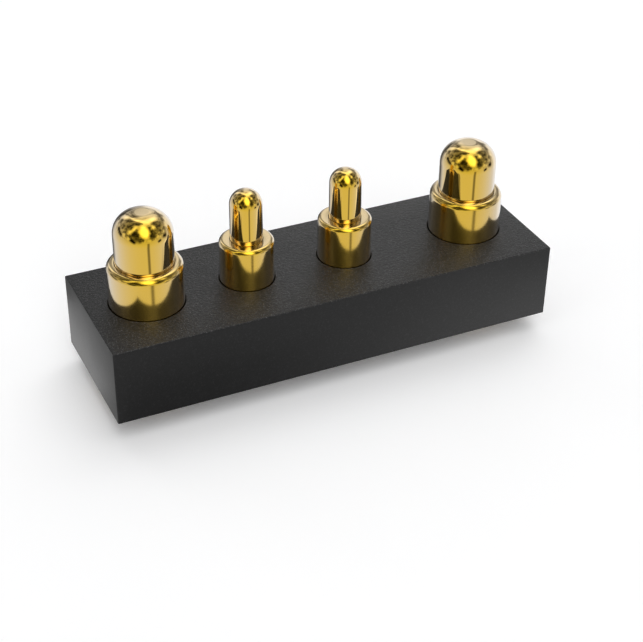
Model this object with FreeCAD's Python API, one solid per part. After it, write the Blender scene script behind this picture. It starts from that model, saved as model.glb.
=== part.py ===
"""A four-way spring-loaded (pogo) pin connector for a circuit board.

Two wide power pins stand at the ends of a black moulded block, with two slim signal pins between
them. Each pin is a gold-plated barrel with a rolled-in rim, a plunger that slides in it and a coil
spring under the plunger. A steel ball sits between spring and plunger in the power pins. The
barrels end in round solder feet that carry the block off the board.

Lengths are in millimetres. The origin is on the board, under the middle of the block. +X runs along
the row of pins, +Y towards the back and +Z up, the way the plungers point.
"""

import FreeCAD, Part
import math
import os

from FreeCAD import Vector

# The moulded block
HOUSING_LENGTH = 13.2
HOUSING_WIDTH = 4.2
HOUSING_HEIGHT = 2.25
HOUSING_EDGE_RADIUS = 0.04
BOARD_GAP = 0.6

# The power pins stand in from the block's ends, and the signal pins at shares of the way between
LEFT_END_TO_PIN = 1.67
RIGHT_END_TO_PIN = 1.71
LEFT_SIGNAL_SHARE = 0.299
RIGHT_SIGNAL_SHARE = 0.603

# Heights that the four pins share, and the way a plunger can go down
RIM_RISE = 1.25
TIP_RISE = 2.75
STROKE = 1.2
OVERTRAVEL = 0.2
FLOOR_THICKNESS = 0.5
LIP_THICKNESS = 0.18
LIP_EDGE_RADIUS = 0.015
FOOT_STEP = 0.07
FOOT_CHAMFER = 0.06
SHOULDER_CHAMFER = 0.03

# How a barrel is held in the block
COLLAR_STEP = 0.2
COLLAR_HEIGHT = 0.45
BARB_COUNT = 3
BARB_STEP = 0.04
BARB_LENGTH = 0.12
BARB_SPACING = 0.2
BARB_ABOVE_COLLAR = 0.3
RELIEF_GAP = 0.035
RELIEF_DEPTH = 0.3

# Radial and end clearances
HOLE_CLEARANCE = 0.01
COLLAR_CLEARANCE = 0.02
TIP_CLEARANCE = 0.02
SHOULDER_CLEARANCE = 0.02
SPRING_CLEARANCE = 0.04
STOP_GAP = 0.01
SPRING_END_GAP = 0.01

# The wide power pins, whose plungers are drilled from below to take the ball and spring
POWER_TIP_DIAMETER = 1.62
POWER_TIP_FLAT = 0.34
POWER_SHOULDER_STEP = 0.09
POWER_BARREL_WALL = 0.12
POWER_RIM_EDGE_RADIUS = 0.14
POWER_PLUNGER_WALL = 0.21
POWER_DRILL_POINT_ANGLE = 118.0
POWER_WALL_OVER_DRILLING = 0.6
POWER_SPRING_WIRE = 0.14
POWER_SPRING_TURNS = 13

# The slim signal pins, whose plungers end in a slanted tail on top of the spring
SIGNAL_TIP_DIAMETER = 0.91
SIGNAL_TIP_FLAT = 0.04
SIGNAL_SHOULDER_STEP = 0.08
SIGNAL_SHOULDER_LENGTH = 0.9
SIGNAL_BIAS_ANGLE = 14.0
SIGNAL_BARREL_WALL = 0.21
SIGNAL_RIM_EDGE_RADIUS = 0.1
SIGNAL_SPRING_WIRE = 0.1
SIGNAL_SPRING_TURNS = 9

# Spring ends are closed: this many turns at each end lie on the next one
SPRING_CLOSED_TURNS = 1
SPRING_POINTS_PER_TURN = 12
CLOSED_PITCH_IN_WIRES = 1.05

HOUSING_UNDERSIDE = BOARD_GAP
HOUSING_TOP = HOUSING_UNDERSIDE + HOUSING_HEIGHT
RIM_TOP = HOUSING_TOP + RIM_RISE
TIP_TOP = HOUSING_TOP + TIP_RISE
LIP_UNDERSIDE = RIM_TOP - LIP_THICKNESS
SHOULDER_TOP = LIP_UNDERSIDE - STOP_GAP
COLLAR_TOP = HOUSING_UNDERSIDE + COLLAR_HEIGHT
SPRING_FOOT = FLOOR_THICKNESS + SPRING_END_GAP


def pin_sizes(tip_diameter, tip_flat, shoulder_step, barrel_wall, rim_edge, tail):
    """The radii that one kind of pin is built from, and the height of its plunger's tail."""
    tip = tip_diameter / 2
    bore = tip + shoulder_step + SHOULDER_CLEARANCE
    return {
        "tip": tip,
        "tip_flat": tip_flat / 2,
        "bore": bore,
        "barrel": bore + barrel_wall,
        "foot": bore + barrel_wall - FOOT_STEP,
        "rim_edge": rim_edge,
        "tail": tail,
    }


POWER = pin_sizes(
    POWER_TIP_DIAMETER,
    POWER_TIP_FLAT,
    POWER_SHOULDER_STEP,
    POWER_BARREL_WALL,
    POWER_RIM_EDGE_RADIUS,
    FLOOR_THICKNESS + STROKE + OVERTRAVEL,
)
SIGNAL = pin_sizes(
    SIGNAL_TIP_DIAMETER,
    SIGNAL_TIP_FLAT,
    SIGNAL_SHOULDER_STEP,
    SIGNAL_BARREL_WALL,
    SIGNAL_RIM_EDGE_RADIUS,
    SHOULDER_TOP - SIGNAL_SHOULDER_LENGTH,
)

# Where the ball lies against the drill point, and how high the spring comes up around it
DRILL_RADIUS = POWER["tip"] - POWER_PLUNGER_WALL
BALL_RADIUS = DRILL_RADIUS - SPRING_CLEARANCE
DRILL_HALF_ANGLE = math.radians(POWER_DRILL_POINT_ANGLE / 2)
DRILL_POINT = TIP_TOP - POWER_WALL_OVER_DRILLING
BALL_CENTRE = DRILL_POINT - (BALL_RADIUS + STOP_GAP) / math.sin(DRILL_HALF_ANGLE)


class Outline:
    """Half of a turned part's section, drawn point by point as (radius, height)."""

    def __init__(self, radius, height):
        self.start = self.at = Vector(radius, 0, height)
        self.edges = []

    def line(self, radius, height):
        end = Vector(radius, 0, height)
        self.edges.append(Part.LineSegment(self.at, end).toShape())
        self.at = end
        return self

    def quarter(self, radius, height, centre_radius, centre_height):
        """A quarter circle to a new point, about the centre given."""
        centre = Vector(centre_radius, 0, centre_height)
        end = Vector(radius, 0, height)
        size = (end - centre).Length
        half_way = ((self.at - centre) + (end - centre)).normalize() * size
        self.edges.append(Part.Arc(self.at, centre + half_way, end).toShape())
        self.at = end
        return self

    def turned(self):
        """The solid swept by the closed section in a full turn about Z."""
        self.line(self.start.x, self.start.z)
        face = Part.Face(Part.Wire(self.edges))
        return face.revolve(Vector(0, 0, 0), Vector(0, 0, 1), 360)


def pin_places():
    """The X of each pin's axis, from left to right."""
    left = -HOUSING_LENGTH / 2 + LEFT_END_TO_PIN
    right = HOUSING_LENGTH / 2 - RIGHT_END_TO_PIN
    between = right - left
    left_signal = left + LEFT_SIGNAL_SHARE * between
    right_signal = left + RIGHT_SIGNAL_SHARE * between
    return left, left_signal, right_signal, right


def pin_hole(pin):
    """The stepped hole that a barrel takes up in the block: relief, bore and collar pocket."""
    bore = pin["barrel"] + HOLE_CLEARANCE
    relief = pin["barrel"] + RELIEF_GAP
    pocket = pin["barrel"] + COLLAR_STEP + COLLAR_CLEARANCE
    hole = Part.makeCylinder(bore, HOUSING_HEIGHT, Vector(0, 0, HOUSING_UNDERSIDE))
    top = Part.makeCylinder(relief, RELIEF_DEPTH, Vector(0, 0, HOUSING_TOP - RELIEF_DEPTH))
    foot = Part.makeCylinder(pocket, COLLAR_HEIGHT, Vector(0, 0, HOUSING_UNDERSIDE))
    return hole.fuse([top, foot])


def housing():
    """The moulded block with softened edges and four stepped holes."""
    corner = Vector(-HOUSING_LENGTH / 2, -HOUSING_WIDTH / 2, HOUSING_UNDERSIDE)
    block = Part.makeBox(HOUSING_LENGTH, HOUSING_WIDTH, HOUSING_HEIGHT, corner)
    block = block.makeFillet(HOUSING_EDGE_RADIUS, block.Edges)
    for pin, x in zip((POWER, SIGNAL, SIGNAL, POWER), pin_places()):
        hole = pin_hole(pin)
        hole.translate(Vector(x, 0, 0))
        block = block.cut(hole)
    return block


def barrel(pin):
    """A turned barrel: solder foot, collar, barbs, plain body, rolled-in rim and blind bore."""
    body = pin["barrel"]
    lip = pin["tip"] + TIP_CLEARANCE
    outline = Outline(0, 0)
    outline.line(pin["foot"] - FOOT_CHAMFER, 0)
    outline.line(pin["foot"], FOOT_CHAMFER)
    outline.line(pin["foot"], HOUSING_UNDERSIDE)
    outline.line(body + COLLAR_STEP, HOUSING_UNDERSIDE)
    outline.line(body + COLLAR_STEP, COLLAR_TOP)
    outline.line(body, COLLAR_TOP)
    for step in range(BARB_COUNT):
        height = COLLAR_TOP + BARB_ABOVE_COLLAR + step * BARB_SPACING
        outline.line(body, height)
        outline.line(body + BARB_STEP, height)
        outline.line(body, height + BARB_LENGTH)
    rim_edge = RIM_TOP - pin["rim_edge"]
    rim_corner = body - pin["rim_edge"]
    outline.line(body, rim_edge)
    outline.quarter(rim_corner, RIM_TOP, rim_corner, rim_edge)
    lip_corner = lip + LIP_EDGE_RADIUS
    outline.line(lip_corner, RIM_TOP)
    outline.quarter(lip, RIM_TOP - LIP_EDGE_RADIUS, lip_corner, RIM_TOP - LIP_EDGE_RADIUS)
    outline.line(lip, LIP_UNDERSIDE)
    outline.line(pin["bore"], LIP_UNDERSIDE)
    outline.line(pin["bore"], FLOOR_THICKNESS)
    outline.line(0, FLOOR_THICKNESS)
    return outline.turned()


def plunger_blank(pin):
    """A turned plunger with a shoulder that stops under the rim and a domed tip."""
    shoulder = pin["bore"] - SHOULDER_CLEARANCE
    dome = pin["tip"] - pin["tip_flat"]
    outline = Outline(0, pin["tail"])
    outline.line(shoulder - SHOULDER_CHAMFER, pin["tail"])
    outline.line(shoulder, pin["tail"] + SHOULDER_CHAMFER)
    outline.line(shoulder, SHOULDER_TOP - SHOULDER_CHAMFER)
    outline.line(shoulder - SHOULDER_CHAMFER, SHOULDER_TOP)
    outline.line(pin["tip"], SHOULDER_TOP)
    outline.line(pin["tip"], TIP_TOP - dome)
    outline.quarter(pin["tip_flat"], TIP_TOP, pin["tip_flat"], TIP_TOP - dome)
    outline.line(0, TIP_TOP)
    return outline.turned()


def power_plunger():
    """The wide plunger, drilled from below so that the ball and spring run up inside it."""
    point_height = DRILL_RADIUS / math.tan(DRILL_HALF_ANGLE)
    drilling = Outline(0, POWER["tail"])
    drilling.line(DRILL_RADIUS, POWER["tail"])
    drilling.line(DRILL_RADIUS, DRILL_POINT - point_height)
    drilling.line(0, DRILL_POINT)
    return plunger_blank(POWER).cut(drilling.turned())


def power_ball():
    """The steel ball that the spring presses into the drill point of the plunger."""
    return Part.makeSphere(BALL_RADIUS, Vector(0, 0, BALL_CENTRE))


def signal_plunger():
    """The slim plunger, its tail cut on a slant so that the spring leans it on the barrel."""
    wide = 2 * SIGNAL["bore"]
    wedge = Part.makeBox(2 * wide, 2 * wide, wide, Vector(0, -wide, -wide))
    wedge.rotate(Vector(0, 0, 0), Vector(0, 1, 0), -SIGNAL_BIAS_ANGLE)
    wedge.translate(Vector(-SIGNAL["bore"], 0, SIGNAL["tail"]))
    return plunger_blank(SIGNAL).cut(wedge)


def spring(diameter, wire, turns, top):
    """A closed-end coil spring of round wire, from the barrel's floor to the height top."""
    low = SPRING_FOOT + wire / 2
    high = top - wire / 2
    closed_rise = SPRING_CLOSED_TURNS * wire * CLOSED_PITCH_IN_WIRES
    open_turns = turns - 2 * SPRING_CLOSED_TURNS
    open_pitch = (high - low - 2 * closed_rise) / open_turns
    radius = (diameter - wire) / 2
    points = []
    for step in range(turns * SPRING_POINTS_PER_TURN + 1):
        turn = step / SPRING_POINTS_PER_TURN
        lower = min(turn, SPRING_CLOSED_TURNS)
        upper = max(0, turn - (turns - SPRING_CLOSED_TURNS))
        middle = turn - lower - upper
        rise = (lower + upper) * wire * CLOSED_PITCH_IN_WIRES + middle * open_pitch
        angle = 2 * math.pi * turn
        points.append(Vector(radius * math.cos(angle), radius * math.sin(angle), low + rise))
    line = Part.BSplineCurve()
    line.interpolate(points)
    along = line.tangent(line.FirstParameter)[0]
    section = Part.Wire(Part.Circle(points[0], along, wire / 2).toShape())
    sweep = Part.BRepOffsetAPI.MakePipeShell(Part.Wire(line.toShape()))
    sweep.setBiNormalMode(Vector(0, 0, 1))
    sweep.add(section)
    sweep.build()
    sweep.makeSolid()
    return sweep.shape()


def power_spring():
    """The spring of a power pin, whose last turn is a seat for the ball."""
    wire = POWER_SPRING_WIRE
    apart = BALL_RADIUS + wire / 2 + SPRING_END_GAP
    seat_radius = BALL_RADIUS - wire / 2
    seat = BALL_CENTRE - math.sqrt(apart ** 2 - seat_radius ** 2)
    return spring(2 * BALL_RADIUS, wire, POWER_SPRING_TURNS, seat + wire / 2)


def signal_spring():
    """The spring of a signal pin, which fills the barrel's bore under the slanted tail."""
    diameter = 2 * (SIGNAL["bore"] - SPRING_CLEARANCE)
    top = SIGNAL["tail"] - SPRING_END_GAP
    return spring(diameter, SIGNAL_SPRING_WIRE, SIGNAL_SPRING_TURNS, top)


def save(name, solid, x=0.0):
    """Writes one piece, moved along the row to its place."""
    piece = solid.copy()
    piece.translate(Vector(x, 0, 0))
    piece.exportStep(os.path.join("parts", name + ".step"))


def main():
    os.makedirs("parts", exist_ok=True)
    save("housing", housing())
    left_power, left_signal, right_signal, right_power = pin_places()
    power = {
        "barrel": barrel(POWER),
        "spring": power_spring(),
        "ball": power_ball(),
        "plunger": power_plunger(),
    }
    signal = {
        "barrel": barrel(SIGNAL),
        "spring": signal_spring(),
        "plunger": signal_plunger(),
    }
    for piece, solid in power.items():
        save("power_" + piece + "_left", solid, left_power)
        save("power_" + piece + "_right", solid, right_power)
    for piece, solid in signal.items():
        save("signal_" + piece + "_left", solid, left_signal)
        save("signal_" + piece + "_right", solid, right_signal)


main()
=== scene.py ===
"""The looks of a spring-loaded pin connector: its black block, gold pins, springs and steel balls.

Run as a script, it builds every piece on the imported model, with the sizes and colours that its
property groups hold. All lengths are in metres, in the model's own frame.
"""

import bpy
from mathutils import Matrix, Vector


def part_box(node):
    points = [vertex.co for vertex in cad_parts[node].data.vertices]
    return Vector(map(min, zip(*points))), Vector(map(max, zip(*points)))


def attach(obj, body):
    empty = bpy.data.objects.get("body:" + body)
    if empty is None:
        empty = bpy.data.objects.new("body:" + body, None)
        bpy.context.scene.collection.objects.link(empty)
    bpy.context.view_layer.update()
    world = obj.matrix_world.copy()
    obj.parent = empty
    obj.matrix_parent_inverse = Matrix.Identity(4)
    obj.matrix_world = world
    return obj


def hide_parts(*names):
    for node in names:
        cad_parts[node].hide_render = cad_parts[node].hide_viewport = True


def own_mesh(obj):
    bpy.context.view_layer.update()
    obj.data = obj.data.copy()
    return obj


bl_info = {
    "name": "Spring-loaded pin connector",
    "version": (1, 0, 0),
    "blender": (4, 5, 0),
    "location": "3D View > Sidebar > Connector",
    "description": "Builds a spring-loaded pin connector piece by piece",
    "category": "Object",
}

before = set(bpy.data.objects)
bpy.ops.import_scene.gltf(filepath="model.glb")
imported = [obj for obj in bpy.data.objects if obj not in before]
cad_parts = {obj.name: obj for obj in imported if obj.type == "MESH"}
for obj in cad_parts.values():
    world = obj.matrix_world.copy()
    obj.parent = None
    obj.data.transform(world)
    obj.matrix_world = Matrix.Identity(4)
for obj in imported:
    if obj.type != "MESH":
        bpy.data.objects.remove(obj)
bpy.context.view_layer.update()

import math

import bpy
from bpy.props import FloatProperty, FloatVectorProperty, IntProperty, PointerProperty
from mathutils import Matrix, Vector

MM = 0.001
SIDES = ("left", "right")
WHITE = (1, 1, 1, 1)

# Edges sharper than this stay sharp, on turned and moulded pieces and on wire
SHARP_EDGE = math.radians(32)
SHARP_WIRE_EDGE = math.radians(40)

# Points nearer to each other than this are one point, on turned pieces and on wire
MERGE_REACH = 0.0005 * MM
WIRE_MERGE_REACH = 0.0002 * MM

# Steps in the arcs of a rim, a lip and a dome, and points in a turn of a coil
RIM_STEPS = 16
LIP_STEPS = 4
DOME_STEPS = 40
COIL_STEPS = 16

DRILL_HALF_ANGLE = math.radians(59)


def length(name, description, millimetres):
    """A length property with its default given in millimetres."""
    return FloatProperty(
        name=name, description=description, default=millimetres * MM, unit="LENGTH", precision=6
    )


def colour(name, description, red, green, blue):
    """A colour property."""
    return FloatVectorProperty(
        name=name,
        description=description,
        default=(red, green, blue),
        subtype="COLOR",
        size=3,
        min=0,
        max=1,
    )


class ConnectorBlockSettings(bpy.types.PropertyGroup):
    edge: length("Edge", "Radius of the moulding's edges", 0.035)
    hole_gap: length("Hole gap", "Gap between a barrel and the mouth of its hole", 0.025)
    hole_depth: length("Hole depth", "How far down the wider mouth of a hole goes", 0.3)
    collar_step: length("Collar step", "How far a barrel's collar stands out of its body", 0.2)
    collar_height: length("Collar height", "Height of a barrel's collar", 0.45)
    pocket_gap: length("Pocket gap", "Gap between a collar and its pocket", 0.02)
    plastic: colour("Plastic", "Colour of the moulded plastic", 0.005, 0.005, 0.0053)
    # The pale specks are painted glints: sparkle painted into the colour of the block's top
    speck: colour("Speck", "Colour of the pale specks in the plastic", 0.3, 0.3, 0.305)


class ConnectorPinSettings(bpy.types.PropertyGroup):
    power_tip: length("Power tip", "Diameter of a wide plunger", 1.62)
    power_flat: length("Power tip flat", "Diameter of the flat on a wide plunger's dome", 0.34)
    power_shoulder: length("Power shoulder", "Diameter of a wide plunger's shoulder", 1.8)
    power_bore: length("Power bore", "Bore of a wide barrel", 1.84)
    power_body: length("Power body", "Diameter of a wide barrel", 2.08)
    power_drilling: length("Power drilling", "Diameter of the drilling in a wide plunger", 1.2)
    power_point: length("Power drill point", "Wall above the drilling", 0.6)
    signal_tip: length("Signal tip", "Diameter of a slim plunger", 0.91)
    signal_flat: length("Signal tip flat", "Diameter of the flat on a slim dome", 0.04)
    signal_shoulder: length("Signal shoulder", "Diameter of a slim plunger's shoulder", 1.07)
    signal_bore: length("Signal bore", "Bore of a slim barrel", 1.11)
    signal_body: length("Signal body", "Diameter of a slim barrel", 1.53)
    floor: length("Floor", "Thickness of a barrel's floor", 0.5)
    rim_rise: length("Rim rise", "Height of the rims over the block", 1.25)
    lip: length("Lip", "Depth of the lip under the rim", 0.18)
    lip_gap: length("Lip gap", "Gap between lip and plunger", 0.01)
    lip_edge: length("Lip edge", "Radius of the lip's inner edge", 0.006)
    power_rim: length("Power rim", "Radius of a wide rim's outer edge", 0.17)
    signal_rim: length("Signal rim", "Radius of a slim rim's outer edge", 0.12)
    foot_step: length("Foot step", "How far a foot stands in from its barrel's body", 0.07)
    foot_chamfer: length("Foot chamfer", "Chamfer of a solder foot", 0.06)
    shoulder_chamfer: length("Shoulder chamfer", "Chamfer of a plunger's shoulder", 0.03)
    dome_ring: length("Dome ring", "Height of the ring of faces under a dome", 0.1)
    tail_drop: length("Tail drop", "How far under a slim plunger its slant starts", 0.01)
    stop_gap: length("Stop gap", "Gap between shoulder and lip at rest", 0.01)
    bias_angle: FloatProperty(
        name="Bias angle",
        description="Slant of a slim plunger's tail",
        default=math.radians(14),
        subtype="ANGLE",
    )
    facets: IntProperty(
        name="Facets", description="Steps in a full turn of a turned piece", default=144, min=24
    )
    wall_tilt: FloatProperty(
        name="Wall tilt",
        description="How far the shading of a barrel's wall leans up, as its rim is rolled in",
        default=math.radians(4),
        subtype="ANGLE",
    )
    tip_dullness: FloatProperty(
        name="Tip dullness", description="Roughness of a plunger's plating", default=0.05
    )
    barrel_dullness: FloatProperty(
        name="Barrel dullness", description="Roughness of a barrel's plating", default=0.13
    )
    gold: colour("Gold", "Colour of the plating seen face on", 0.92, 0.58, 0.032)
    gold_edge: colour("Gold edge", "Colour of the plating seen edge on", 0.9, 0.86, 0.81)


class ConnectorSpringSettings(bpy.types.PropertyGroup):
    power_wire: length("Power wire", "Wire of a power pin's spring", 0.14)
    signal_wire: length("Signal wire", "Wire of a signal pin's spring", 0.1)
    power_turns: IntProperty(
        name="Power turns", description="Turns of a power pin's spring", default=13, min=3
    )
    signal_turns: IntProperty(
        name="Signal turns", description="Turns of a signal pin's spring", default=9, min=3
    )
    closed_pitch: FloatProperty(
        name="Closed pitch", description="Pitch of a closed turn, in wires", default=1.05
    )
    travel: length("Travel", "How far a plunger goes down", 1.2)
    end_gap: length("End gap", "Gap at a spring's top, for its wire to flatten in", 0.03)
    steel: colour("Steel", "Colour of wire and balls", 0.62, 0.61, 0.59)


class ConnectorStageSettings(bpy.types.PropertyGroup):
    floor_colour: colour("Floor", "Colour of the floor", 0.99, 0.99, 0.995)
    floor_glow: FloatProperty(
        name="Floor glow", description="White that the floor adds for the camera", default=0.1
    )
    floor_size: FloatProperty(
        name="Floor size", description="Side of the floor", default=3.0, unit="LENGTH"
    )
    card_size: FloatVectorProperty(
        name="Card size",
        description="Length and width of the card that gloss shows",
        default=(0.0192, 0.0108),
        subtype="TRANSLATION",
        size=2,
        precision=6,
    )
    card_rise: length("Card rise", "How far the card lies over the floor", 0.002)
    lens: FloatProperty(
        name="Lens", description="Focal length on a sensor 36 mm wide", default=83.54
    )
    turn: FloatProperty(
        name="Turn",
        description="How far round the camera stands",
        default=math.radians(-25.549),
        subtype="ANGLE",
    )
    rise: FloatProperty(
        name="Rise",
        description="How far the camera looks down",
        default=math.radians(33.977),
        subtype="ANGLE",
    )
    roll: FloatProperty(
        name="Roll",
        description="How far the camera leans over",
        default=math.radians(0.867),
        subtype="ANGLE",
    )
    place: FloatVectorProperty(
        name="Place",
        description="Where the camera stands",
        default=(-0.0152306, -0.0325282, 0.0250254),
        subtype="TRANSLATION",
        size=3,
        precision=6,
    )
    level: FloatProperty(
        name="Level", description="Level of the studio light on matt surfaces", default=1.58
    )
    gloss_level: FloatProperty(
        name="Gloss level", description="Level of the studio light in reflections", default=1.08
    )


# Shader trees, with sums on sockets written as they are read


class Term:
    """A number that a socket gives, which can stand in a sum."""

    def __init__(self, tree, socket):
        self.tree = tree
        self.socket = socket

    def maths(self, operation, *others):
        inputs = dict(enumerate((self, *others)))
        node = self.tree.add("ShaderNodeMath", {"operation": operation}, inputs)
        return Term(self.tree, node.outputs[0])

    def __add__(self, other):
        return self.maths("ADD", other)

    def __radd__(self, other):
        return self.maths("ADD", other)

    def __sub__(self, other):
        return self.maths("SUBTRACT", other)

    def __rsub__(self, other):
        node = self.tree.add("ShaderNodeMath", {"operation": "SUBTRACT"}, {0: other, 1: self})
        return Term(self.tree, node.outputs[0])

    def __mul__(self, other):
        return self.maths("MULTIPLY", other)

    def __rmul__(self, other):
        return self.maths("MULTIPLY", other)

    def __truediv__(self, other):
        return self.maths("DIVIDE", other)

    def __gt__(self, other):
        return self.maths("GREATER_THAN", other)

    def __abs__(self):
        return self.maths("ABSOLUTE")

    def at_least(self, other):
        return self.maths("MAXIMUM", other)

    def eased(self, start, end, low, high):
        """A smooth step from low, at start, to high, at end."""
        ramp = {"From Min": start, "From Max": end, "To Min": low, "To Max": high}
        node = self.tree.add(
            "ShaderNodeMapRange", {"interpolation_type": "SMOOTHSTEP"}, {"Value": self, **ramp}
        )
        return Term(self.tree, node.outputs["Result"])


class Tree:
    """The node tree of a material or of the world."""

    def __init__(self, owner):
        owner.use_nodes = True
        self.tree = owner.node_tree
        self.tree.nodes.clear()

    def add(self, kind, settings=None, inputs=None):
        """Adds a node with its settings, then fills or links its sockets."""
        node = self.tree.nodes.new(kind)
        for name, value in (settings or {}).items():
            setattr(node, name, value)
        for key, value in (inputs or {}).items():
            if isinstance(value, Term):
                value = value.socket
            if isinstance(value, bpy.types.NodeSocket):
                self.tree.links.new(value, node.inputs[key])
            else:
                node.inputs[key].default_value = value
        return node

    def term(self, kind, settings=None, inputs=None, output=0):
        return Term(self, self.add(kind, settings, inputs).outputs[output])

    def noise(self, place, scale, detail=2.0, roughness=0.5):
        sizes = {"Vector": place, "Scale": scale, "Detail": detail, "Roughness": roughness}
        return self.term("ShaderNodeTexNoise", None, sizes)

    def place(self, centre_x=0.0, scale=(1, 1, 1)):
        """Object coordinates, centred on a pin and stretched."""
        where = self.add("ShaderNodeTexCoord").outputs["Object"]
        shift = (-centre_x * scale[0], 0, 0)
        sizes = {"Vector": where, "Location": shift, "Scale": scale}
        return self.add("ShaderNodeMapping", None, sizes).outputs[0]

    def coordinate(self, axis):
        """One of the object coordinates: X, Y or Z."""
        node = self.add("ShaderNodeSeparateXYZ", None, {0: self.place()})
        return Term(self, node.outputs[axis])

    def blend(self, share, first, second):
        """A colour part of the way from the first to the second."""
        node = self.add("ShaderNodeMix", {"data_type": "RGBA"}, {0: share, 6: first, 7: second})
        return node.outputs[2]

    def end(self, kind, shader):
        self.add(kind, None, {"Surface": shader})


def solid_colour(values, factor=1.0):
    return (*(value * factor for value in values), 1)


def clouded(tree, centre_x, scale, tone, darkest):
    """A colour with faint clouds in it, the darkest of them at a share of its brightness."""
    cloud = tree.noise(tree.place(centre_x), scale, detail=2)
    return tree.blend(cloud, solid_colour(tone, darkest), solid_colour(tone))


def plated_gold(name, centre_x, dullness, tilt=0.0):
    """Polished gold plating over turned metal, paler where it is seen edge on."""
    pins = bpy.context.scene.connector_pins
    material = bpy.data.materials.new(name)
    tree = Tree(material)
    turning = tree.place(centre_x, scale=(400, 400, 42000))
    lathe = tree.noise(turning, scale=1, detail=3, roughness=0.6)
    speck = tree.noise(tree.place(centre_x), scale=26000, detail=2)
    shade = clouded(tree, centre_x, 1400, pins.gold, 0.985)
    edge = clouded(tree, centre_x, 1400, pins.gold_edge, 0.985)
    gloss = dullness * (0.7 + 0.4 * speck + 0.2 * lathe)
    height = tree.coordinate("Z")
    mark_depth = 0.00006 * MM
    heights = (lathe * 0.6 + speck * 0.4) * mark_depth - height * math.tan(tilt)
    marks = {"Strength": 1.0, "Distance": 1.0, "Height": heights}
    bump = tree.add("ShaderNodeBump", None, marks).outputs[0]
    finish = {"Metallic": 1.0, "Roughness": gloss, "Normal": bump}
    face_on = tree.add("ShaderNodeBsdfPrincipled", None, {"Base Color": shade, **finish})
    edge_on = tree.add("ShaderNodeBsdfPrincipled", None, {"Base Color": edge, **finish})
    # The mix runs a little past both ends, so that no slant has one colour alone
    slant = tree.term("ShaderNodeLayerWeight", None, {"Blend": 0.5}, "Facing")
    paler = slant.eased(-0.05, 1.05, 0.0, 1.0)
    surfaces = {0: paler, 1: face_on.outputs[0], 2: edge_on.outputs[0]}
    shader = tree.add("ShaderNodeMixShader", None, surfaces).outputs[0]
    tree.end("ShaderNodeOutputMaterial", shader)
    return material


def moulded_plastic(name):
    """Black moulded plastic, smooth at its sides and with a speckled grain on top, where sparkle
    is painted into its colour.
    """
    block = bpy.context.scene.connector_block
    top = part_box("housing")[1].z
    material = bpy.data.materials.new(name)
    tree = Tree(material)
    place = tree.place()
    # The grain fades out where the block's top rounds off
    upper = tree.coordinate("Z").eased(top - 0.03 * MM, top - 0.01 * MM, 0.12, 1.0)
    grain = tree.noise(place, scale=12000, detail=3, roughness=0.65)
    fine = tree.noise(place, scale=34000, detail=2)
    flow = tree.noise(tree.place(scale=(1, 2, 2)), scale=300, detail=3)
    # Painted glints: pale specks in the colour, on the top only
    painted_glints = fine.eased(0.52, 0.72, 0.0, 1.0) * grain.eased(0.4, 0.6, 0.3, 1.0)
    # On top the colour grows lighter with the grain: partly the plastic's own random tone, partly
    # painted sparkle
    shade = tree.blend(
        grain.eased(0.35, 0.7, 0.0, 1.0) * upper,
        solid_colour(block.plastic, 0.5),
        solid_colour(block.plastic, 2.5),
    )
    shade = tree.blend(painted_glints * upper * 0.4, shade, solid_colour(block.speck))
    gloss = 0.46 + 0.08 * flow - (0.14 - 0.08 * grain) * upper
    heights = (grain * 0.7 + fine * 0.3) * upper
    bumps = {"Strength": 1.0, "Distance": 0.03 * MM, "Height": heights}
    surface = {
        "Base Color": shade,
        "Roughness": gloss,
        "IOR": 1.5,
        "Normal": tree.add("ShaderNodeBump", None, bumps).outputs[0],
    }
    shader = tree.add("ShaderNodeBsdfPrincipled", None, surface).outputs[0]
    tree.end("ShaderNodeOutputMaterial", shader)
    return material


def drawn_steel(name, roughness):
    """Bright steel with faint drawing marks."""
    springs = bpy.context.scene.connector_springs
    material = bpy.data.materials.new(name)
    tree = Tree(material)
    marks = tree.noise(tree.place(), scale=30000, detail=3, roughness=0.6)
    surface = {
        "Base Color": clouded(tree, 0, 2500, springs.steel, 0.88),
        "Metallic": 1.0,
        "Roughness": roughness + 0.12 * marks,
    }
    shader = tree.add("ShaderNodeBsdfPrincipled", None, surface).outputs[0]
    tree.end("ShaderNodeOutputMaterial", shader)
    return material


# Shapes


def alone():
    """Leaves edit mode and deselects everything."""
    if bpy.context.object and bpy.context.object.mode != "OBJECT":
        bpy.ops.object.mode_set(mode="OBJECT")
    bpy.ops.object.select_all(action="DESELECT")


def pin_place(kind, side):
    """The X of a pin's axis, from the plunger that the model has there."""
    low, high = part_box(f"{kind}_plunger_{side}")
    return (low.x + high.x) / 2


def arc(centre, radius, start, end, steps):
    """Points of an arc in a turned piece's section, with angles in degrees from level."""
    points = []
    for step in range(steps + 1):
        angle = math.radians(start + (end - start) * step / steps)
        across = centre[0] + radius * math.cos(angle)
        points.append((across, centre[1] + radius * math.sin(angle)))
    return points


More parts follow.
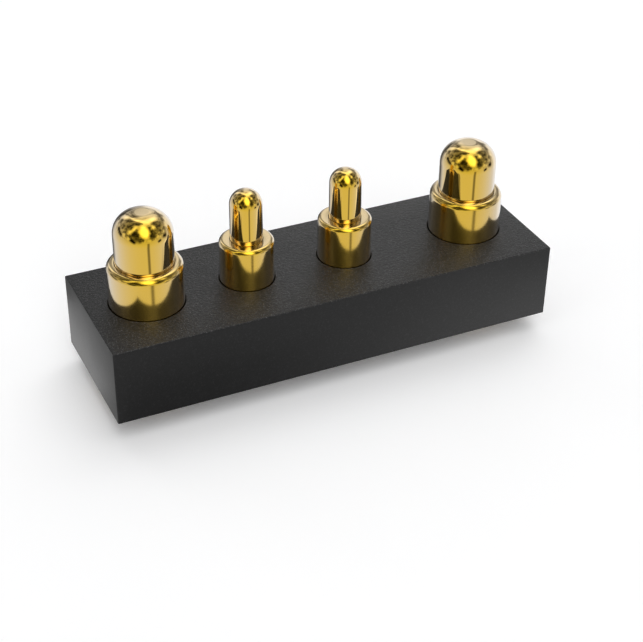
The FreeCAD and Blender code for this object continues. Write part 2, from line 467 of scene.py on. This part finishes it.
def turned(name, section, x, facets):
    """A piece turned on a lathe: its section is drawn from the axis to the axis, then spun."""
    alone()
    bpy.ops.mesh.primitive_plane_add(size=MM, location=(x, 0, 0))
    piece = bpy.context.object
    piece.name = piece.data.name = name
    bpy.ops.object.transform_apply(location=True, rotation=True, scale=True)
    bpy.ops.object.mode_set(mode="EDIT")
    bpy.ops.mesh.select_all(action="SELECT")
    bpy.ops.mesh.merge(type="CENTER")
    at = Vector((0, 0))
    for index, (radius, height) in enumerate(section):
        move = (radius - at.x, 0, height - at.y)
        if index == 0:
            bpy.ops.transform.translate(value=move)
        else:
            bpy.ops.mesh.extrude_region_move(TRANSFORM_OT_translate={"value": move})
        at = Vector((radius, height))
    bpy.ops.mesh.select_all(action="SELECT")
    bpy.ops.mesh.spin(
        steps=facets, angle=math.tau, center=(x, 0, 0), axis=(0, 0, 1), use_auto_merge=False
    )
    bpy.ops.mesh.select_all(action="SELECT")
    bpy.ops.mesh.remove_doubles(threshold=MERGE_REACH)
    bpy.ops.mesh.normals_make_consistent(inside=False)
    bpy.ops.object.mode_set(mode="OBJECT")
    bpy.ops.object.shade_smooth_by_angle(angle=SHARP_EDGE)
    return piece


def finish_piece(piece, material, slot, body, *nodes):
    """Gives a piece its material and its body, and hides the nodes of the model that it stands
    for.
    """
    piece.data.materials.clear()
    piece.data.materials.append(material)
    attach(piece, body)
    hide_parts(*nodes)


def cut(piece, tool):
    """Takes the tool's shape out of the piece, and removes the tool."""
    alone()
    piece.select_set(True)
    bpy.context.view_layer.objects.active = piece
    modifier = piece.modifiers.new("Cut", "BOOLEAN")
    modifier.operation = "DIFFERENCE"
    modifier.solver = "EXACT"
    modifier.object = tool
    bpy.ops.object.modifier_apply(modifier=modifier.name)
    bpy.data.objects.remove(tool)


class CONNECTOR_OT_block(bpy.types.Operator):
    """Build the moulded block with its four stepped holes"""

    bl_idname = "connector.block"
    bl_label = "Block"

    def execute(self, context):
        block = context.scene.connector_block
        pins = context.scene.connector_pins
        low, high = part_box("housing")
        chamfer = block.edge / 5
        above = chamfer / 2
        alone()
        bpy.ops.mesh.primitive_cube_add(size=1, location=(low + high) / 2, scale=high - low)
        piece = context.object
        piece.name = piece.data.name = "moulded_block"
        bpy.ops.object.transform_apply(location=True, rotation=True, scale=True)
        bpy.ops.object.mode_set(mode="EDIT")
        bpy.ops.mesh.select_all(action="SELECT")
        bpy.ops.mesh.bevel(offset=block.edge, segments=4, affect="EDGES", clamp_overlap=True)
        bpy.ops.object.mode_set(mode="OBJECT")
        for kind in ("power", "signal"):
            body = getattr(pins, kind + "_body") / 2
            mouth = body + block.hole_gap
            pocket = body + block.collar_step + block.pocket_gap
            section = [
                (0, low.z - block.edge),
                (pocket, low.z - block.edge),
                (pocket, low.z + block.collar_height),
                (body, low.z + block.collar_height),
                (body, high.z - block.hole_depth),
                (mouth, high.z - block.hole_depth),
                (mouth, high.z - chamfer),
                (mouth + chamfer + above, high.z + above),
                (mouth + chamfer + above, high.z + block.edge),
                (0, high.z + block.edge),
            ]
            for side in SIDES:
                tool = turned("hole", section, pin_place(kind, side), pins.facets)
                cut(piece, tool)
        alone()
        piece.select_set(True)
        context.view_layer.objects.active = piece
        bpy.ops.object.shade_smooth_by_angle(angle=SHARP_EDGE)
        plastic = moulded_plastic("black_moulded_plastic")
        finish_piece(piece, plastic, "black_plastic", "connector", "housing")
        return {"FINISHED"}


class CONNECTOR_OT_barrels(bpy.types.Operator):
    """Build the gold-plated barrels with their rims, collars and solder feet"""

    bl_idname = "connector.barrels"
    bl_label = "Barrels"

    def execute(self, context):
        for kind in ("power", "signal"):
            for side in SIDES:
                self.barrel(context, kind, side)
        return {"FINISHED"}

    def barrel(self, context, kind, side):
        pins = context.scene.connector_pins
        block = context.scene.connector_block
        node = f"{kind}_barrel_{side}"
        underside, top = (corner.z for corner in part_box("housing"))
        body = getattr(pins, kind + "_body") / 2
        bore = getattr(pins, kind + "_bore") / 2
        lip = getattr(pins, kind + "_tip") / 2 + pins.lip_gap
        foot = body - pins.foot_step
        collar = body + block.collar_step
        section = [(0, 0), (foot - pins.foot_chamfer, 0), (foot, pins.foot_chamfer)]
        section += [(foot, underside), (collar, underside)]
        section += [(collar, underside + block.collar_height)]
        section += [(body, underside + block.collar_height)]
        crest = top + pins.rim_rise
        edge = getattr(pins, kind + "_rim")
        section += [(body, crest - 2 * edge)]
        section += arc((body - edge, crest - edge), edge, 0, 90, RIM_STEPS)
        inner = (lip + pins.lip_edge, crest - pins.lip_edge)
        section += arc(inner, pins.lip_edge, 90, 180, LIP_STEPS)
        section += [(lip, crest - pins.lip), (bore, crest - pins.lip)]
        section += [(bore, pins.floor), (0, pins.floor)]
        x = pin_place(kind, side)
        piece = turned(f"{kind}_barrel_shell_{side}", section, x, pins.facets)
        gold = plated_gold(f"{kind}_barrel_gold_{side}", x, pins.barrel_dullness, pins.wall_tilt)
        finish_piece(piece, gold, "gold_plating", "connector", node)


class CONNECTOR_OT_plungers(bpy.types.Operator):
    """Build the domed plungers: wide ones drilled from below, slim ones with a slanted tail"""

    bl_idname = "connector.plungers"
    bl_label = "Plungers"

    def execute(self, context):
        for kind in ("power", "signal"):
            for side in SIDES:
                self.plunger(context, kind, side)
        return {"FINISHED"}

    def plunger(self, context, kind, side):
        pins = context.scene.connector_pins
        node = f"{kind}_plunger_{side}"
        low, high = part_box(node)
        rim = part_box("housing")[1].z + pins.rim_rise
        tip = getattr(pins, kind + "_tip") / 2
        flat = getattr(pins, kind + "_flat") / 2
        shoulder = getattr(pins, kind + "_shoulder") / 2
        top = rim - pins.lip - pins.stop_gap
        chamfer = pins.shoulder_chamfer
        dome = tip - flat
        x = pin_place(kind, side)
        if kind == "power":
            drilling = pins.power_drilling / 2
            point = high.z - pins.power_point
            cone = drilling / math.tan(DRILL_HALF_ANGLE)
            section = [(0, point), (drilling, point - cone), (drilling, low.z)]
            tail = low.z
        else:
            tail = low.z - pins.tail_drop
            section = [(0, tail)]
        section += [(shoulder - chamfer, tail), (shoulder, tail + chamfer)]
        section += [(shoulder, top - chamfer), (shoulder - chamfer, top), (tip, top)]
        section += [(tip, high.z - dome - pins.dome_ring)]
        section += arc((flat, high.z - dome), dome, 0, 90, DOME_STEPS)
        section += [(0, high.z)]
        piece = turned(f"{kind}_plunger_tip_{side}", section, x, pins.facets)
        if kind == "signal":
            self.slant(piece, x - pins.signal_bore / 2, tail, pins.bias_angle)
        gold = plated_gold(f"{kind}_plunger_gold_{side}", x, pins.tip_dullness)
        finish_piece(piece, gold, "gold_plating", f"{kind}_contact_{side}", node)

    def slant(self, piece, x, z, angle):
        """Cuts the tail off on a slant that rises from a point at its left."""
        alone()
        piece.select_set(True)
        bpy.context.view_layer.objects.active = piece
        bpy.ops.object.mode_set(mode="EDIT")
        bpy.ops.mesh.select_all(action="SELECT")
        bpy.ops.mesh.bisect(
            plane_co=(x, 0, z),
            plane_no=(math.sin(angle), 0, -math.cos(angle)),
            use_fill=True,
            clear_outer=True,
            threshold=MERGE_REACH / 5,
        )
        bpy.ops.object.mode_set(mode="OBJECT")


class CONNECTOR_OT_springs(bpy.types.Operator):
    """Wind the coil springs"""

    bl_idname = "connector.springs"
    bl_label = "Springs"

    def execute(self, context):
        springs = context.scene.connector_springs
        steel = drawn_steel("spring_wire", 0.2)
        for kind in ("power", "signal"):
            wire = getattr(springs, kind + "_wire")
            turns = getattr(springs, kind + "_turns")
            for side in SIDES:
                node = f"{kind}_spring_{side}"
                low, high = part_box(node)
                top = Vector((high.x, high.y, high.z - springs.end_gap))
                piece = self.wind(f"{kind}_coil_{side}", low, top, wire, turns)
                finish_piece(piece, steel, "spring_steel", "connector", node)
                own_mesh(piece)
        return {"FINISHED"}

    def wind(self, name, low, high, wire, turns):
        """A coil of round wire with a closed turn at each end, between two heights."""
        alone()
        bpy.ops.curve.primitive_nurbs_path_add()
        coil = bpy.context.object
        coil.name = name
        line = coil.data.splines[0]
        line.points.add(turns * COIL_STEPS + 1 - len(line.points))
        radius = (high.x - low.x - wire) / 2
        bottom, top = low.z + wire / 2, high.z - wire / 2
        closed = wire * bpy.context.scene.connector_springs.closed_pitch
        pitch = (top - bottom - 2 * closed) / (turns - 2)
        for index, point in enumerate(line.points):
            turn = index / COIL_STEPS
            ends = min(turn, 1) + max(0, turn - turns + 1)
            height = bottom + ends * closed + (turn - ends) * pitch
            angle = math.tau * turn
            x = (low.x + high.x) / 2 + radius * math.cos(angle)
            point.co = (x, radius * math.sin(angle), height, 1)
        line.use_endpoint_u = True
        line.order_u = 4
        line.resolution_u = 3
        coil.data.bevel_depth = wire / 2
        coil.data.bevel_resolution = 4
        coil.data.use_fill_caps = True
        bpy.ops.object.convert(target="MESH")
        piece = bpy.context.object
        bpy.ops.object.transform_apply(location=True, rotation=True, scale=True)
        bpy.ops.object.mode_set(mode="EDIT")
        bpy.ops.mesh.select_all(action="SELECT")
        bpy.ops.mesh.remove_doubles(threshold=WIRE_MERGE_REACH)
        bpy.ops.mesh.normals_make_consistent(inside=False)
        bpy.ops.object.mode_set(mode="OBJECT")
        bpy.ops.object.shade_smooth_by_angle(angle=SHARP_WIRE_EDGE)
        return piece


class CONNECTOR_OT_balls(bpy.types.Operator):
    """Build the polished steel balls between the power pins' springs and plungers"""

    bl_idname = "connector.balls"
    bl_label = "Balls"

    def execute(self, context):
        steel = drawn_steel("ball_steel", 0.08)
        facets = context.scene.connector_pins.facets
        for side in SIDES:
            node = "power_ball_" + side
            low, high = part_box(node)
            radius = (high.z - low.z) / 2
            section = arc((0, low.z + radius), radius, -90, 90, DOME_STEPS)
            section[0] = (0, low.z)
            section[-1] = (0, high.z)
            x = pin_place("power", side)
            piece = turned(f"steel_ball_{side}", section, x, facets // 2)
            finish_piece(piece, steel, "ball_steel", "power_contact_" + side, node)
        return {"FINISHED"}


# Soft boxes and dark flags of the studio, laid over each other in this order. Each has the way
# round and the height that it is seen at, its half width and half height, its lean and the
# softness of its edge, all in degrees, and its brightness.
STUDIO = {
    "back_floor": (-152, -60, 40, 14, 0, 5, 1.0),
    "back_right_box": (128, 68, 24, 24, -45, 16, 1.5),
    "back_box": (-170, 44, 5, 26, -5, 12, 4.0),
    "right_wall": (126, -6, 34, 24, 0, 4, 0.85),
    "high_left_flag": (-88, 66, 16, 24, 30, 2, 0.2),
    "left_box": (-76, 50, 9, 22, 15, 6, 1.4),
    "top_box": (-12, 58, 10, 22, 0, 12, 1.9),
    "back_wall": (158, 50, 20, 14, 65, 8, 0.65),
    "back_left_flag": (-122, 54, 24, 24, 45, 10, 0.15),
    "right_flag": (68, 44, 15, 24, -45, 8, 0.1),
    "left_flag": (-42, 24, 18, 28, 50, 12, 0.05),
    "left_corner": (-120, 10, 18, 6, -10, 6, 0.0),
    "key_box": (-7, 41, 14, 20, 5, 16, 2.1),
    "right_strip": (34, 32, 1, 32, -25, 14, 2.4),
    "left_stand": (-56, 2, 13, 8, -30, 6, 0.0),
    "right_stand": (68, -2, 10, 7, -20, 6, 0.0),
    "front_right_stand": (43, -10, 7, 5, 20, 4, 0.0),
    "key_flag": (25, 27, 14, 24, -30, 10, 0.05),
    "back_panel": (-176, -10, 13, 60, 0, 18, 0.0),
    "right_bar": (82, 34, 50, 6, -10, 10, 0.15),
    "seam": (0, -24, 4, 16, 0, 3, 0.2),
}

# The room behind them: its brightness low down and high up, and the two heights, in degrees,
# between which it changes
LOW_LIGHT = 0.68
HIGH_LIGHT = 0.0
HORIZON = (-24, 72)

# The least share of its way that a ray goes towards the middle of a box that it meets
LEAST_AHEAD = 0.02

# Brightness of the card, which paints the floor round the block in gloss: from left to right in
# front of the block, where it paints the floor's shadow, and towards the block at its left, where
# it paints bright floor and the front has a smaller share of it than the back
CARD_IN_FRONT = (0.25, 1.1)
CARD_AT_LEFT = (0.75, 1.5)
CARD_LEFT_SHARES = (0.5, 1.0)

# How much darker the card is under the block, where it paints the block's shadow
CARD_PAINTED_SHADOW = 0.9


class CONNECTOR_OT_stage(bpy.types.Operator):
    """Set up the pale floor, the soft studio light and the camera"""

    bl_idname = "connector.stage"
    bl_label = "Stage"

    def execute(self, context):
        self.floor(context)
        self.painted_reflection_card(context)
        self.light(context)
        self.camera(context)
        context.scene.view_settings.view_transform = "Standard"
        return {"FINISHED"}

    def floor(self, context):
        """A pale floor, which gloss doesn't show."""
        stage = context.scene.connector_stage
        floor = self.sheet("floor", (stage.floor_size, stage.floor_size), 0)
        floor.visible_glossy = False
        material = bpy.data.materials.new("pale_floor")
        tree = Tree(material)
        seen = tree.term("ShaderNodeLightPath", None, None, "Is Camera Ray")
        shade = solid_colour(stage.floor_colour)
        lit = tree.add("ShaderNodeBsdfDiffuse", None, {"Color": shade}).outputs[0]
        glow = {"Color": shade, "Strength": seen * stage.floor_glow}
        white = tree.add("ShaderNodeEmission", None, glow).outputs[0]
        both = tree.add("ShaderNodeAddShader", None, {0: lit, 1: white}).outputs[0]
        tree.end("ShaderNodeOutputMaterial", both)
        floor.data.materials.append(material)

    def painted_reflection_card(self, context):
        """A glowing card around the block, which only gloss shows: a painted reflection of the
        floor, dim in front, bright at the left and all but black under the block, where it paints
        the block's shadow."""
        stage = context.scene.connector_stage
        low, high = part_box("housing")
        painted_reflection_card = self.sheet("painted_reflection_card", stage.card_size, stage.card_rise)
        painted_reflection_card.visible_camera = painted_reflection_card.visible_diffuse = painted_reflection_card.visible_shadow = False
        material = bpy.data.materials.new("painted_floor_reflection")
        tree = Tree(material)
        across = tree.coordinate("X")
        along = tree.coordinate("Y")
        shift, reach = 2 * MM, 3 * MM
        # Painted reflection: the card's glow stands for the floor, shaded in front of the block
        # and bright at its left
        front = across.eased(low.x + shift, high.x + shift, *CARD_IN_FRONT)
        beside = across.eased(low.x - reach, low.x, *CARD_AT_LEFT)
        beside = beside * along.eased(low.y / 2, high.y / 2, *CARD_LEFT_SHARES)
        inside = across > low.x
        # Painted shadow: the card goes all but black under the block
        painted_shadow_under = inside * (1 - (across > high.x)) * (1 - (abs(along) > high.y))
        shade = (beside + inside * (front - beside)) * (1 - CARD_PAINTED_SHADOW * painted_shadow_under)
        glow = {"Color": WHITE, "Strength": shade}
        light = tree.add("ShaderNodeEmission", None, glow).outputs[0]
        tree.end("ShaderNodeOutputMaterial", light)
        painted_reflection_card.data.materials.append(material)

    def sheet(self, name, sides, height):
        """A flat rectangle around the origin."""
        alone()
        bpy.ops.mesh.primitive_plane_add(size=1, location=(0, 0, height))
        piece = bpy.context.object
        piece.name = piece.data.name = name
        piece.scale = (*sides, 1)
        bpy.ops.object.transform_apply(location=True, rotation=True, scale=True)
        return piece

    def light(self, context):
        """The studio: a pale room with soft boxes and dark flags, and white behind the object.

        In gloss, its dim parts above the floor are also mottled, as by things in the room.
        """
        stage = context.scene.connector_stage
        world = bpy.data.worlds.new("studio")
        context.scene.world = world
        tree = Tree(world)
        ray = tree.add("ShaderNodeTexCoord").outputs["Generated"]
        up = self.along(tree, ray, Vector((0, 0, 1))).maths("ARCSINE")
        start, end = (math.radians(angle) for angle in HORIZON)
        glow = up.eased(start, end, LOW_LIGHT, HIGH_LIGHT)
        for box in STUDIO.values():
            share, brightness = self.box(tree, ray, box)
            glow = glow + share * (brightness - glow)
        path = tree.add("ShaderNodeLightPath")
        gloss = Term(tree, path.outputs["Is Glossy Ray"])
        patches = tree.noise(ray, scale=4, detail=2.5, roughness=0.6)
        clutter = patches.eased(0.36, 0.64, 0.3, 1.9)
        level_ray = math.radians(8)
        above = up.eased(-level_ray, level_ray, 0.0, 1.0)
        dim = glow.eased(0.25, 0.8, 1.0, 0.12)
        glow = glow * (1 + gloss * above * dim * (clutter - 1))
        level = stage.level + gloss * (stage.gloss_level - stage.level)
        studio = {"Color": WHITE, "Strength": glow * level}
        lit = tree.add("ShaderNodeBackground", None, studio)
        plain = {"Color": WHITE, "Strength": 1.0}
        white = tree.add("ShaderNodeBackground", None, plain)
        seen = path.outputs["Is Camera Ray"]
        ways = {0: seen, 1: lit.outputs[0], 2: white.outputs[0]}
        shader = tree.add("ShaderNodeMixShader", None, ways).outputs[0]
        tree.end("ShaderNodeOutputWorld", shader)

    def along(self, tree, ray, axis):
        """How far a ray points along an axis."""
        sockets = {0: ray, 1: axis}
        return tree.term("ShaderNodeVectorMath", {"operation": "DOT_PRODUCT"}, sockets, "Value")

    def box(self, tree, ray, box):
        """How much of one soft box or flag a ray meets, and its brightness."""
        turn, rise, width, height, lean, soft, brightness = box
        turn, rise, lean = math.radians(turn), math.radians(rise), math.radians(lean)
        level = Vector((math.cos(turn), math.sin(turn), 0))
        centre = Vector((math.sin(turn), -math.cos(turn), math.tan(rise))).normalized()
        upward = centre.cross(level) * -1
        upward = upward if upward.z > 0 else -upward
        across = level * math.cos(lean) + upward * math.sin(lean)
        upright = upward * math.cos(lean) - level * math.sin(lean)
        ahead = self.along(tree, ray, centre)
        depth = ahead.at_least(LEAST_AHEAD)
        share = ahead > LEAST_AHEAD
        for axis, half in ((across, width), (upright, height)):
            reach = math.tan(math.radians(half))
            edge = math.tan(math.radians(soft))
            off = abs(self.along(tree, ray, axis)) / depth
            share = share * off.eased(reach - edge, reach + edge, 1.0, 0.0)
        return share, brightness

    def camera(self, context):
        stage = context.scene.connector_stage
        camera = bpy.data.objects.new("camera", bpy.data.cameras.new("camera"))
        context.scene.collection.objects.link(camera)
        camera.data.lens = stage.lens
        camera.data.sensor_width = 36
        camera.data.clip_start = 0.001
        camera.data.clip_end = 100
        turn, rise, roll = stage.turn, stage.rise, stage.roll
        flat = math.cos(rise)
        back = Vector((math.sin(turn) * flat, -math.cos(turn) * flat, math.sin(rise)))
        level = Vector((0, 0, 1)).cross(back).normalized()
        upright = back.cross(level)
        right = level * math.cos(roll) + upright * math.sin(roll)
        up = upright * math.cos(roll) - level * math.sin(roll)
        axes = Matrix((right, up, back)).transposed().to_4x4()
        camera.matrix_world = Matrix.Translation(stage.place) @ axes
        context.scene.camera = camera


class CONNECTOR_PT_panel(bpy.types.Panel):
    """Lists the connector's pieces"""

    bl_label = "Pin connector"
    bl_idname = "CONNECTOR_PT_panel"
    bl_space_type = "VIEW_3D"
    bl_region_type = "UI"
    bl_category = "Connector"

    def draw(self, context):
        for operator in PIECES:
            self.layout.operator(operator.bl_idname)
        for settings in SETTINGS:
            group = getattr(context.scene, settings)
            box = self.layout.box()
            for name in group.__annotations__:
                box.prop(group, name)


PIECES = (
    CONNECTOR_OT_block,
    CONNECTOR_OT_barrels,
    CONNECTOR_OT_plungers,
    CONNECTOR_OT_springs,
    CONNECTOR_OT_balls,
    CONNECTOR_OT_stage,
)
SETTINGS = {
    "connector_block": ConnectorBlockSettings,
    "connector_pins": ConnectorPinSettings,
    "connector_springs": ConnectorSpringSettings,
    "connector_stage": ConnectorStageSettings,
}


def register():
    for name, group in SETTINGS.items():
        bpy.utils.register_class(group)
        setattr(bpy.types.Scene, name, PointerProperty(type=group))
    for item in (*PIECES, CONNECTOR_PT_panel):
        bpy.utils.register_class(item)


def unregister():
    for item in reversed((*PIECES, CONNECTOR_PT_panel)):
        bpy.utils.unregister_class(item)
    for name, group in SETTINGS.items():
        delattr(bpy.types.Scene, name)
        bpy.utils.unregister_class(group)


def main():
    register()
    bpy.ops.connector.block()
    bpy.ops.connector.barrels()
    bpy.ops.connector.plungers()
    bpy.ops.connector.springs()
    bpy.ops.connector.balls()
    bpy.ops.connector.stage()


if __name__ == "__main__":
    main()
